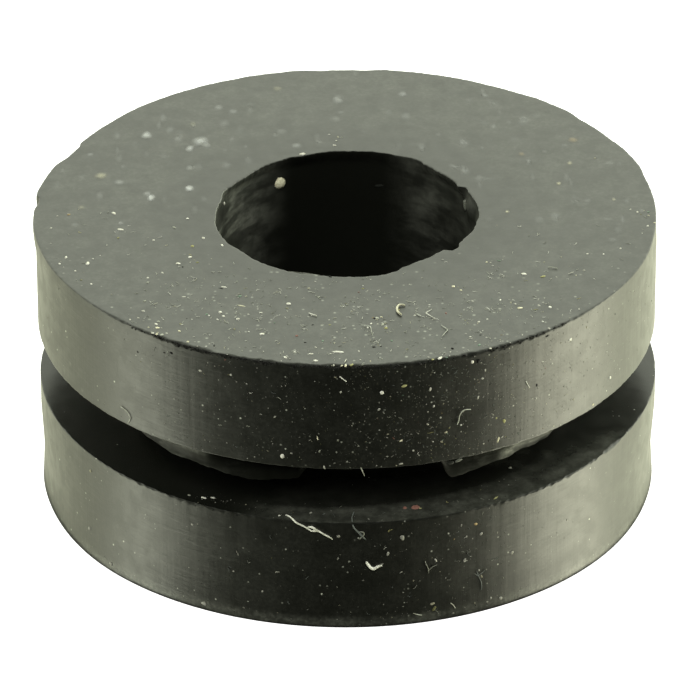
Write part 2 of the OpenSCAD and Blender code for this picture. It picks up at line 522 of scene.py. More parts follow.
def makeRubber(name, f):
    material, tree, shader = newMaterial(name, f["roughness"], f["specular"])
    where = addNode(tree, "ShaderNodeTexCoord").outputs["Object"]
    axes = dict(addNode(tree, "ShaderNodeSeparateXYZ").outputs)
    tree.links.new(where, axes["X"].node.inputs["Vector"])
    flat = addNode(tree, "ShaderNodeCombineXYZ")
    tree.links.new(axes["X"], flat.inputs["X"])
    tree.links.new(axes["Y"], flat.inputs["Y"])
    fromAxis = addNode(tree, "ShaderNodeVectorMath", operation="DISTANCE")
    fromAxis.inputs[1].default_value = Vector((*f["centre"], 0)) * mm
    tree.links.new(flat.outputs["Vector"], fromAxis.inputs[0])
    axes["radius"] = fromAxis.outputs["Value"]
    fromCentre = math2(tree, "SUBTRACT", axes["X"], f["centre"][0] * mm)
    axes["aside"] = math2(tree, "ABSOLUTE", fromCentre, 0)
    marks = placed(tree, drawnMarks, {"Vector": where, "Stretch": f["stretch"], "Twist": f["twist"],
                                      "Scale": f["marks"]}).outputs["Mask"]
    streaks = ranged(tree, marks, 0, 1, 1 - f["streaky"], 1)
    amount = math2(tree, "MULTIPLY", fading(tree, axes, f["fades"], f["film"]), streaks)
    film = placed(tree, dustAndPaintedLightFilm, {
        "Vector": where, "Patches": f["patches"], "Evenness": f["evenness"],
        "Amount": smeared(tree, where, f["smears"], amount)}).outputs["Mask"]
    specks = placed(tree, fineSpecks, {
        "Vector": where, "Scale": f["speckScale"], "Share": f["speckShare"],
        "Size": f["speckSize"]}).outputs["Mask"]
    specks = fading(tree, axes, f["speckFades"], specks)
    filmAndSpecksColor = mixed(tree, math2(tree, "MAXIMUM", film, specks), rubberBase, dustAndPaintedLightColor)
    tree.links.new(filmAndSpecksColor, shader.inputs["Base Color"])
    grain = placed(tree, mouldedGrain, {"Vector": where})
    rough = ranged(tree, grain.outputs["Blotch"], 0, 1, f["roughness"] - f["blotch"],
                   f["roughness"] + f["blotch"])
    tree.links.new(rough, shader.inputs["Roughness"])
    low, high = f["scoreBand"]
    scores = placed(tree, drawnMarks, {"Vector": where, "Stretch": f["scores"],
                                       "Scale": f["scoreScale"], "Low": low, "High": high})
    scored = fading(tree, axes, f["scoreFades"], scores.outputs["Mask"])
    relief = bumped(tree, marks, f["markDepth"])
    relief = bumped(tree, scored, f["scoreDepth"], relief)
    relief = bumped(tree, grain.outputs["Height"], f["grainDepth"], relief)
    tree.links.new(relief, shader.inputs["Normal"])
    return material


rubberSkins = [makeRubber(name, {**plainFinish, **values}) for name, values in finishes.items()]
print("materials ready")


# Ring: its section is a few corners, rounded, cut fine and spun round the bore

ring = {
    "boreRadius": 3.0, "hubRadius": 5.0, "wallRadius": 7.15, "rimRadius": 7.16, "footRadius": 7.14,
    "footFlare": 0.05, "flareHeight": 0.9,
    "lowerTop": 2.75, "upperBottom": 4.15,
    "taperStart": 0.75, "taperEnd": 0.4,     # below the top, where the wall runs out to the rim
    "mouldEdge": 0.15,                       # how near each edge the section is cut finer
    "sectors": 60, "steps": 15,
}

# How far an edge stands out (+) or in (-) at places round the ring
edges = {
    "rim": [(0, -0.02), (40, -0.01), (70, 0), (84, -0.03), (103, -0.03), (108, 0.02), (114, 0.02),
            (119, -0.01), (129, -0.015), (133, 0.045), (141, 0.045), (146, -0.01), (151, -0.01),
            (156, 0), (172, -0.01), (177, -0.08), (184, -0.08), (190, -0.01), (222, -0.01),
            (234, -0.06), (241, -0.06), (243, -0.13), (247, -0.125), (252, 0), (258, 0.03),
            (262, 0.06), (263.5, 0.05), (264.5, -0.04), (266, -0.04), (269, 0.03), (275, 0.05),
            (287, 0.03), (305, 0), (330, -0.01)],
    "mouth": [(0, 0.08), (10, 0.1), (16, 0.1), (21, 0.05), (26, -0.07), (36, -0.13), (50, -0.13),
              (53, 0.05), (56, 0.07), (60, -0.02), (66, 0), (72, 0.04), (80, 0.02), (86, 0.05),
              (95, 0.04), (102, 0), (112, -0.01), (115, -0.14), (120, -0.1), (132, -0.12),
              (140, -0.09), (145, -0.01), (160, -0.04), (188, -0.06), (194, -0.09), (200, -0.11),
              (207, -0.06), (220, -0.08), (233, -0.12), (243, -0.07), (251, -0.01), (260, -0.06),
              (268, -0.02), (280, 0.05), (298, 0.08), (309, 0.02), (318, 0.07), (333, 0.11),
              (340, 0.09), (345, 0.04), (351, 0.07)],
    "shoulder": [(0, 0), (55, 0.01), (80, 0.05), (100, 0.05), (180, 0), (270, -0.01)],
    "foot": [(0, 0), (50, 0), (80, -0.03), (100, -0.03), (180, 0), (262, -0.08), (282, -0.06),
             (312, 0)],
}


def ringSection(r):
    # radius, height, rounding of the corner, spacing of the points that follow it
    bore, hub, wall, rim, foot = [r[k + "Radius"] for k in ("bore", "hub", "wall", "rim", "foot")]
    low, high, near = r["lowerTop"], r["upperBottom"], r["mouldEdge"]
    return [
        (bore, 0, 0.05, 1.5), (foot + r["footFlare"], 0, 0.05, 0.15),
        (foot, r["flareHeight"], 0, 0.5),
        (foot, low - near, 0, 0.05), (foot, low, 0.04, 0.05), (foot - near, low, 0, 0.7),
        (hub, low, 0.2, 0.6), (hub, high, 0.2, 0.7),
        (wall - near, high, 0, 0.05), (wall, high, 0.04, 0.05), (wall, high + near, 0, 0.45),
        (wall, height - r["taperStart"], 0, 0.12), (rim, height - r["taperEnd"], 0, 0.12),
        (rim, height - near, 0, 0.08), (rim, height, 0.05, 0.08), (rim - near, height, 0, 0.4),
        (bore + 0.6, height, 0, 0.1), (bore + near, height, 0, 0.05),
        (bore, height, 0.018, 0.06), (bore, height - near, 0, 0.06), (bore, height - 1.0, 0, 1.0),
    ]


def spinSection(bm, r):
    # one narrow sector first, then the sector round the ring, which is quick
    sector = math.tau / r["sectors"]
    axis = {"cent": (0, 0, 0), "axis": (0, 0, 1)}
    bmesh.ops.spin(bm, geom=bm.verts[:] + bm.edges[:], angle=sector, steps=r["steps"], **axis)
    whole = bm.verts[:] + bm.edges[:] + bm.faces[:]
    bmesh.ops.spin(bm, geom=whole, angle=math.tau - sector, steps=r["sectors"] - 1,
                   use_duplicate=True, **axis)
    bmesh.ops.remove_doubles(bm, verts=bm.verts, dist=1e-7)
    bmesh.ops.recalc_face_normals(bm, faces=bm.faces)


# Wear: each sharp edge is rounded more in some places and less in others

wear = {
    "reach": 0.15,
    "rim": {"plain": 0.05, "size": [(0, 1.6), (30, 1.6), (44, 0.9), (60, 0.5), (300, 0.5),
                                    (318, 0.9), (332, 1.6)],
            "ragged": 0.8, "most": 2.7},
    "lowerTop": {"plain": 0.04, "size": [(0, 0.9), (35, 1.3), (56, 1.2), (70, 0.5), (110, 0.5),
                                         (290, 0.5), (304, 0.6), (315, 1), (340, 1.3)],
                 "ragged": 1.3, "most": 2.8},
    "upperBottom": {"plain": 0.04, "size": [(0, 0.8)], "ragged": 0.8, "most": 2.4},
    "mouth": {"plain": 0.018, "size": [(0, 1)], "ragged": 0.3, "most": 2},
    "least": 0.15, "coarse": 0.35, "fine": 0.11, "roughness": 0.9,
}
tattered = {"depth": 0.018, "mouthDepth": 0.022,
            "share": [(0, 0.3), (42, 0.35), (56, 0.3), (70, 0.05), (290, 0.05), (304, 0.1),
                      (315, 0.45), (350, 0.55)]}
chip = {"angle": 104, "width": 10, "fall": 0.4, "end": 1.0, "bulge": 0.11}


def wornOffset(distance, factor, plain, reach):
    # distances inside the rounding grow by the factor, those beyond it close up
    if distance <= plain:
        return distance * factor
    full = plain * factor
    return full + (distance - plain) * (reach - full) / (reach - plain)


def raggedNoise(place):
    coarse = noise.noise(place / (wear["coarse"] * mm))
    fine = noise.noise(place / (wear["fine"] * mm) + Vector((7, 3, 1)))
    return wear["roughness"] * coarse + wear["roughness"] * fine


def wearCorner(radius, z, angle, place, cornerRadius, cornerZ, w):
    reach = wear["reach"]
    inside, away = cornerRadius - radius, z - cornerZ
    if max(abs(inside), abs(away)) > reach:
        return radius, z
    factor = around(w["size"], angle) * (1 + w["ragged"] * raggedNoise(place))
    factor = min(max(factor, wear["least"]), w["most"])
    newInside = math.copysign(wornOffset(abs(inside), factor, w["plain"], reach), inside)
    newAway = math.copysign(wornOffset(abs(away), factor, w["plain"], reach), away)
    return cornerRadius - newInside, cornerZ + newAway


# Where each uneven edge fades out: along the wall or the bore, then across the face
fadeOut = {
    "rim": ((0.7, 0.15), (0.6, 0.1)), "mouth": ((0.35, 0.02), (0.5, 0.03)),
    "shoulder": ((0.9, 2.1), (5.5, 6.8)), "tattered": ((0.16, 0.02), (6.9, 7.08)),
}


def edgeShift(radius, z, angle):
    # how far the uneven edges carry a point of the surface outwards
    shift = 0
    if z > ring["upperBottom"]:
        (down, across), depth = fadeOut["rim"], height - z
        rimShare = smooth(*down, depth) * smooth(*across, ring["rimRadius"] - radius)
        shift += around(edges["rim"], angle) * rimShare
        (down, across), inside = fadeOut["mouth"], radius - ring["boreRadius"]
        ragged = tattered["mouthDepth"] * raggedNoise(outward(angle) * ring["boreRadius"] * mm)
        mouthShare = smooth(*down, depth) * smooth(*across, inside)
        shift += (around(edges["mouth"], angle) + ragged) * mouthShare
        chipShare = smooth(chip["width"], 0, abs(awayFrom(angle, chip["angle"])))
        bulge = smooth(0, chip["fall"], depth) * smooth(chip["end"], chip["fall"], depth)
        shift -= chip["bulge"] * chipShare * bulge * smooth(*across, inside)
    if z < ring["lowerTop"] + 0.01:
        up, across = fadeOut["shoulder"]
        low, high = around(edges["foot"], angle), around(edges["shoulder"], angle)
        shift += (low + (high - low) * smooth(*up, z)) * smooth(*across, radius)
        down, across = fadeOut["tattered"]
        torn = smooth(*down, ring["lowerTop"] - z) * smooth(*across, radius)
        ragged = raggedNoise(outward(angle) * aboutWall * mm + Vector((0, 0, mm)))
        shift += tattered["depth"] * around(tattered["share"], angle) * ragged * torn
    return shift


def reshape(bm):
    for vert in bm.verts:
        angle = ringAngle(vert.co)
        radius, z = math.hypot(vert.co.x, vert.co.y) / mm, vert.co.z / mm
        for corner, cornerRadius, cornerZ in (
                ("rim", "rimRadius", height), ("lowerTop", "footRadius", ring["lowerTop"]),
                ("upperBottom", "wallRadius", ring["upperBottom"]),
                ("mouth", "boreRadius", height)):
            radius, z = wearCorner(radius, z, angle, vert.co, ring[cornerRadius], cornerZ,
                                   wear[corner])
        radius += edgeShift(radius, z, angle)
        vert.co = placeOf(angle, radius, z)


def skinOf(face):
    centre = face.calc_center_median() / mm
    radius = math.hypot(centre.x, centre.y)
    if abs(face.normal.z) > 0.95 and (centre.z < 0.02 or centre.z > height - 0.02):
        return 0
    if radius < (ring["boreRadius"] + ring["hubRadius"]) / 2:
        return 3
    if ring["lowerTop"] - 0.01 < centre.z < ring["upperBottom"] + 0.01:
        return 2
    return 1


def drawSection(bm, section):
    # a closed line of points through the corners, which are then rounded
    points, corners = [], []
    following = section[1:] + section[:1]
    for (radius, z, rounding, spacing), (toRadius, toZ, _, _) in zip(section, following):
        start, stop = Vector((radius, 0, z)) * mm, Vector((toRadius, 0, toZ)) * mm
        parts = max(1, round((stop - start).length / (spacing * mm)))
        for part in range(parts):
            points.append(bm.verts.new(start.lerp(stop, part / parts)))
        if rounding:
            corners.append((points[-parts], rounding))
    for first, second in zip(points, points[1:] + points[:1]):
        bm.edges.new((first, second))
    for corner, rounding in corners:
        bmesh.ops.bevel(bm, geom=[corner], offset=rounding * mm, segments=3, profile=0.5,
                        affect="VERTICES", material=-1)
    print("section points", len(bm.verts))


def makeRing(r):
    bm = bmesh.new()
    drawSection(bm, ringSection(r))
    spinSection(bm, r)
    for face in bm.faces:
        face.smooth = True
        face.material_index = skinOf(face)
    reshape(bm)
    piece = meshObject(bm, "grommetRing", rubberSkins)
    piece.data.set_sharp_from_angle(angle=math.radians(40))
    return piece


ringPiece = makeRing(ring)
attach(ringPiece, "root")
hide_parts("grommet")
print("ring ready", len(ringPiece.data.polygons), "faces")


# Skirts of flash: thin torn strips that hang into the groove from the upper flange

skirts = {
    "thickness": 0.045, "root": 4.22, "drop": 0.5, "rows": 12, "step": 0.05, "tear": 0.025,
    "wave": 0.03, "longWave": 0.9, "shortWave": 0.25, "rootShare": (0.85, 0.1),
    # angle, lowest height, radius of the lower edge, how far the root lies behind it,
    # pale film at the root, on the skirt and on its torn edge: dust, and painted light of the lit root,
    # the lit lower edge and a rough reflection on the skirt
    "left": [(-40.5, 4.1, 7.1, 0, 0.02, 0.02, 0), (-38.5, 4.03, 7.1, 0, 0.02, 0.01, 0),
             (-36.4, 3.94, 7.08, 0, 0.01, 0.045, 0), (-34.1, 3.86, 7.08, -0.02, 0.03, 0.065, 0.02),
             (-32, 3.8, 7.06, -0.05, 0.03, 0.04, 0.08), (-30.5, 3.8, 7.05, -0.08, 0.08, 0.015, 0.03),
             (-29, 3.78, 7.04, -0.1, 0.12, 0.01, 0.02), (-27.9, 3.73, 7.03, -0.11, 0.1, 0.01, 0.05),
             (-26, 3.69, 7, -0.12, 0.05, 0.015, 0.06), (-24.1, 3.64, 6.95, 0, 0.02, 0.02, 0.02),
             (-22.5, 3.58, 6.91, 0.12, 0.01, 0.02, 0.01), (-21.4, 3.54, 6.88, 0.12, 0, 0.015, 0.01),
             (-18.5, 3.5, 6.82, 0.15, 0, 0.005, 0.01), (-14.7, 3.52, 6.76, 0.2, 0, 0, 0),
             (-10.9, 3.58, 6.72, 0.2, 0, 0, 0), (-9, 3.64, 6.7, 0.2, 0, 0, 0),
             (-7.5, 3.95, 6.7, 0.2, 0, 0, 0)],
    "right": [(17.7, 4, 6.98, 0.05, 0, 0, 0), (18.4, 3.8, 6.98, 0.05, 0, 0.01, 0),
              (19, 3.67, 6.98, 0.06, 0, 0.02, 0.01), (19.7, 3.6, 6.98, 0.06, 0, 0.01, 0.03),
              (21.3, 3.62, 6.98, 0.06, 0, 0.01, 0.06), (23.3, 3.65, 6.98, 0.06, 0, 0.035, 0.04),
              (25.3, 3.71, 7, 0.06, 0.03, 0.04, 0.01), (27.3, 3.76, 7, 0.05, 0.06, 0.05, 0.01),
              (29, 3.79, 7.02, 0.04, 0, 0.07, 0.05), (30, 3.8, 7.03, 0, 0, 0.14, 0.05),
              (31, 3.81, 7.03, -0.04, 0, 0.2, 0), (31.8, 3.84, 7.03, -0.05, 0, 0.22, 0),
              (32.7, 3.89, 7.03, -0.06, 0, 0.22, 0), (34.5, 3.9, 7.03, -0.06, 0, 0.1, 0),
              (36.4, 3.88, 7.03, -0.06, 0, 0.11, 0), (38.1, 3.93, 7.05, -0.05, 0.04, 0.08, 0),
              (39.8, 4, 7.08, -0.02, 0.02, 0.07, 0), (41, 4.1, 7.1, 0, 0, 0.06, 0)],
}
# smears: angle, radius, height, reach, how much
skirtFinish = {"roughness": 0.4, "specular": 0.08, "patches": 2600.0, "stretch": (0.45, 1.6, 1),
               "patchy": (0.3, 1.4), "tornFade": (0.5, 1, 1, 0.6), "rootFade": (0.12, 0.48, 1, 0),
               "edgeSharpness": 13, "evenness": 1.0, "filmPatches": 4000.0, "depth": 0.001,
               "smears": [(31.2, 7.02, 3.96, 0.12, 0.18)]}


def alongEdge(edge, angle):
    for (a, *first), (b, *second) in zip(edge, edge[1:]):
        if a <= angle <= b:
            return [p + (q - p) * (angle - a) / (b - a) for p, q in zip(first, second)]
    return edge[0][1:] if angle < edge[0][0] else edge[-1][1:]


def makeSkirtMaterial(f):
    # dark rubber with pale smears along it, which attributes of the piece place; the smears are dust
    # and painted light
    material, tree, shader = newMaterial("flashRubber", f["roughness"], f["specular"])
    where = addNode(tree, "ShaderNodeTexCoord").outputs["Object"]
    torn, root, body, edge = [
        addNode(tree, "ShaderNodeAttribute", attribute_name=name).outputs["Fac"]
        for name in ("torn", "root", "body", "edge")]
    unrolled = addNode(tree, "ShaderNodeAttribute", attribute_name="unrolled").outputs["Vector"]
    patches = placed(tree, drawnMarks, {"Vector": unrolled, "Stretch": f["stretch"],
                                        "Scale": f["patches"]}).outputs["Mask"]
    cover = math2(tree, "MULTIPLY", ranged(tree, patches, 0, 1, *f["patchy"]), body)
    amount = math2(tree, "MULTIPLY", ranged(tree, torn, *f["tornFade"]), cover)
    atRoot = ranged(tree, torn, *f["rootFade"])
    atEdge = math2(tree, "POWER", torn, f["edgeSharpness"])
    for share, dusted in ((atRoot, root), (atEdge, edge)):
        amount = math2(tree, "ADD", math2(tree, "MULTIPLY", share, dusted), amount)
    film = placed(tree, dustAndPaintedLightFilm, {
        "Vector": where, "Evenness": f["evenness"], "Patches": f["filmPatches"],
        "Amount": smeared(tree, where, f["smears"], amount)}).outputs["Mask"]
    tree.links.new(mixed(tree, film, rubberBase, dustAndPaintedLightColor), shader.inputs["Base Color"])
    grain = placed(tree, mouldedGrain, {"Vector": where})
    relief = bumped(tree, grain.outputs["Height"], f["depth"])
    tree.links.new(relief, shader.inputs["Normal"])
    return material


def makeSkirt(name, edge, s, material):
    start, stop = edge[0][0], edge[-1][0]
    bm = bmesh.new()
    drop = s["drop"] / s["rows"]
    for row in range(s["rows"] + 1):
        bm.verts.new(placeOf(start, aboutWall, s["root"] - row * drop))
    column = bm.verts[:]
    for upper, under in zip(column, column[1:]):
        bm.edges.new((upper, under))
    sweep = math.radians(stop - start)
    bmesh.ops.spin(bm, geom=bm.verts[:] + bm.edges[:], cent=(0, 0, 0), axis=(0, 0, 1), angle=sweep,
                   steps=round(sweep * aboutWall / s["step"]))
    torn, atRoot, onBody, atEdge = [
        bm.verts.layers.float.new(kind) for kind in ("torn", "root", "body", "edge")]
    unrolled = bm.verts.layers.float_vector.new("unrolled")
    for vert in bm.verts:
        angle = ringAngle(vert.co)
        share = (s["root"] - vert.co.z / mm) / s["drop"]
        lowest, radius, inset, vert[atRoot], vert[onBody], vert[atEdge] = alongEdge(edge, angle)
        lowest += s["tear"] * raggedNoise(outward(angle) * aboutWall * mm)
        z = s["root"] + (lowest - s["root"]) * share
        ripple = (noise.noise(vert.co / (s["longWave"] * mm))
                  + 0.5 * noise.noise(vert.co / (s["shortWave"] * mm)))
        waving = s["wave"] * ripple * share * min(inset * 10, 1)
        radius += waving - inset * smooth(*s["rootShare"], share)
        vert[torn] = share
        vert[unrolled] = Vector((math.radians(angle) * aboutWall, z, 0)) * mm
        vert.co = placeOf(angle, radius, z)
    bmesh.ops.recalc_face_normals(bm, faces=bm.faces)
    if sum(face.normal.dot(face.calc_center_median()) for face in bm.faces) < 0:
        bmesh.ops.reverse_faces(bm, faces=bm.faces)
    bmesh.ops.solidify(bm, geom=bm.faces[:], thickness=s["thickness"] * mm)
    bmesh.ops.recalc_face_normals(bm, faces=bm.faces)
    for face in bm.faces:
        face.smooth = True
    piece = meshObject(bm, name, [material])
    piece.data.set_sharp_from_angle(angle=math.radians(50))
    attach(piece, "root")


flashRubber = makeSkirtMaterial(skirtFinish)
makeSkirt("flashLeft", skirts["left"], skirts, flashRubber)
makeSkirt("flashRight", skirts["right"], skirts, flashRubber)
print("skirts ready")


# Seats: where a grain or a thread lies on the ring, and which way the surface faces there

def wallRadius(z, angle):
    if z > ring["upperBottom"]:
        taper = ring["taperStart"] - ring["taperEnd"]
        runOut = min(max((z - height + ring["taperStart"]) / taper, 0), 1)
        radius = ring["wallRadius"] + (ring["rimRadius"] - ring["wallRadius"]) * runOut
    else:
        radius = ring["footRadius"] + ring["footFlare"] * max(1 - z / ring["flareHeight"], 0)
    return radius + edgeShift(radius, z, angle)


def seat(surface, angle, place, lift=0.0):
    # X runs round the ring and Z off the surface; place is a radius on a face, else a height
    sideways, up, off = roundwards(angle), Vector((0, 0, 1)), outward(angle)
    if surface in ("top", "ledge"):
        up, off = -outward(angle), Vector((0, 0, 1))
        point = outward(angle) * place + off * (height if surface == "top" else ring["lowerTop"])
    elif surface == "bore":
        sideways, off = -sideways, -off
        point = outward(angle) * ring["boreRadius"] + up * place
    else:
        point = outward(angle) * wallRadius(place, angle) + up * place
    turn = Matrix((sideways, up, off)).transposed().to_4x4()
    return Matrix.Translation((point + off * lift) * mm) @ turn


# Dust: grains of lint and grit, thick on the front and thin elsewhere

tints = {
    "white": (0.85, 0.86, 0.78), "cool": (0.82, 0.85, 0.86), "cream": (0.82, 0.80, 0.6),
    "grey": (0.42, 0.44, 0.38), "yellow": (0.42, 0.42, 0.2), "orange": (0.52, 0.40, 0.21),
    "red": (0.34, 0.17, 0.14), "dark": (0.012, 0.012, 0.012), "green": (0.25, 0.36, 0.28),
    "pale": (0.15, 0.16, 0.14), "ash": (0.48, 0.49, 0.44), "dim": (0.02, 0.022, 0.019),
    "amber": (0.72, 0.58, 0.38),
}

# Where it lies: surface, strength of the faintest and the strongest, size against the usual,
# then the spans: first and last angle, lowest and highest place, number of grains
dust = {
    "size": 0.0145, "spread": 0.5, "clump": 0.22, "clumped": 0.5, "perClump": 7,
    "longest": 2.2, "thickness": 0.5, "largest": 0.085,
    "mix": [("white", 60), ("cream", 14), ("grey", 14), ("yellow", 3), ("orange", 1.5), ("red", 0.8),
            ("green", 2.5), ("dark", 4)],
    "dustTop": ("top", 0.25, 1, 2.1, [
        (-45, 45, 3.1, 4, 26), (-45, 45, 4, 5, 46), (-45, 45, 5, 6, 95), (-45, 45, 6, 7.1, 120),
        (-45, 45, 6.85, 7.12, 50), (45, 90, 3.2, 5, 9), (45, 90, 5, 7.1, 22), (-90, -45, 3.2, 5, 12),
        (-90, -45, 5, 7.1, 34), (90, 270, 3.2, 7.1, 8)]),
    "dustUpperWall": ("wall", 0.06, 0.75, 0.86, [
        (-80, -60, 4.2, 6.7, 12), (-60, -45, 4.2, 6.7, 26), (-45, -30, 4.2, 6.7, 90),
        (-30, -15, 4.2, 6.7, 310), (-15, 0, 4.2, 6.7, 300), (0, 15, 4.2, 6.7, 680),
        (15, 30, 4.2, 6.7, 1000), (30, 45, 4.2, 6.7, 380), (45, 60, 4.2, 6.7, 90),
        (60, 80, 4.2, 6.7, 25)]),
    "dustBrightWall": ("wall", 0.5, 1, 0.85, [(28, 45, 4.2, 6.7, 170), (45, 75, 4.2, 6.7, 60)]),
    "dustLowerWall": ("wall", 0.03, 0.55, 0.85, [
        (-75, -45, 0.1, 2.7, 3), (-45, -30, 0.1, 2.7, 5), (-30, -15, 0.1, 2.7, 40),
        (-15, 0, 0.1, 2.7, 60), (0, 15, 0.1, 2.7, 130), (15, 30, 0.1, 2.7, 340),
        (30, 45, 0.1, 2.7, 20), (45, 70, 0.1, 2.7, 2), (-30, 35, 0.08, 0.3, 90)]),
    "dustLedge": ("ledge", 0.03, 0.8, 0.9, [(-30, -10, 6.5, 7.1, 60), (-10, 45, 6.3, 7.1, 120)]),
}


def lay(bm, tintLayer, matrix, size, tint, strength=1):
    # one grain: a rounded lump pressed onto its seat
    shape = Matrix.Diagonal((size[0] * mm, size[1] * mm, size[2] * mm, 1))
    grain = bmesh.ops.create_icosphere(bm, subdivisions=1, radius=0.5, matrix=matrix @ shape)
    for vert in grain["verts"]:
        vert[tintLayer] = (*[share * strength for share in tints[tint]], 1)


def pickTint(rng, mix):
    names, shares = zip(*mix)
    return rng.choices(names, shares)[0]


def makeDust(name, layout, d, rng):
    surface, faintest, strongest, scale, spans = layout
    bm = bmesh.new()
    tintLayer = bm.verts.layers.float_color.new("tint")
    for first, last, low, high, count in spans:
        middles = [(rng.uniform(first, last), rng.uniform(low, high))
                   for _ in range(max(count // d["perClump"], 1))]
        for _ in range(count):
            angle, place = rng.uniform(first, last), rng.uniform(low, high)
            if rng.random() < d["clumped"]:
                angle, place = rng.choice(middles)
                angle += rng.gauss(0, math.degrees(d["clump"] / aboutWall))
                place = min(max(place + rng.gauss(0, d["clump"]), low), high)
            size = min(scale * d["size"] * math.exp(rng.gauss(0, d["spread"])), d["largest"])
            length = size * rng.uniform(1, d["longest"])
            # small grains are grey, large ones white
            strength = faintest + (strongest - faintest) * smooth(0, d["largest"], size)
            matrix = seat(surface, angle, place) @ Matrix.Rotation(rng.uniform(0, math.tau), 4, "Z")
            lay(bm, tintLayer, matrix, (length, size, size * d["thickness"]), pickTint(rng, d["mix"]),
                strength)
    finishDirt(bm, name)


def finishDirt(bm, name):
    for face in bm.faces:
        face.smooth = True
    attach(meshObject(bm, name, [dirtMaterial]), "root")


dirtMaterial = makePowder("dustGrain", {
    "roughness": 0.75, "specular": 0.25, "fine": 60000.0, "coarse": 20000.0,
    "shade": (0.72, 0.70, 0.64, 1), "depth": 0.002})[0]
rng = random.Random(41)
for name in ("dustTop", "dustUpperWall", "dustBrightWall", "dustLowerWall", "dustLedge"):
    makeDust(name, dust[name], dust, rng)
print("dust ready")


# Crumbs: the larger bits. Surface and strength of the tint, then each one: angle, place,
# length, width, turn, tint

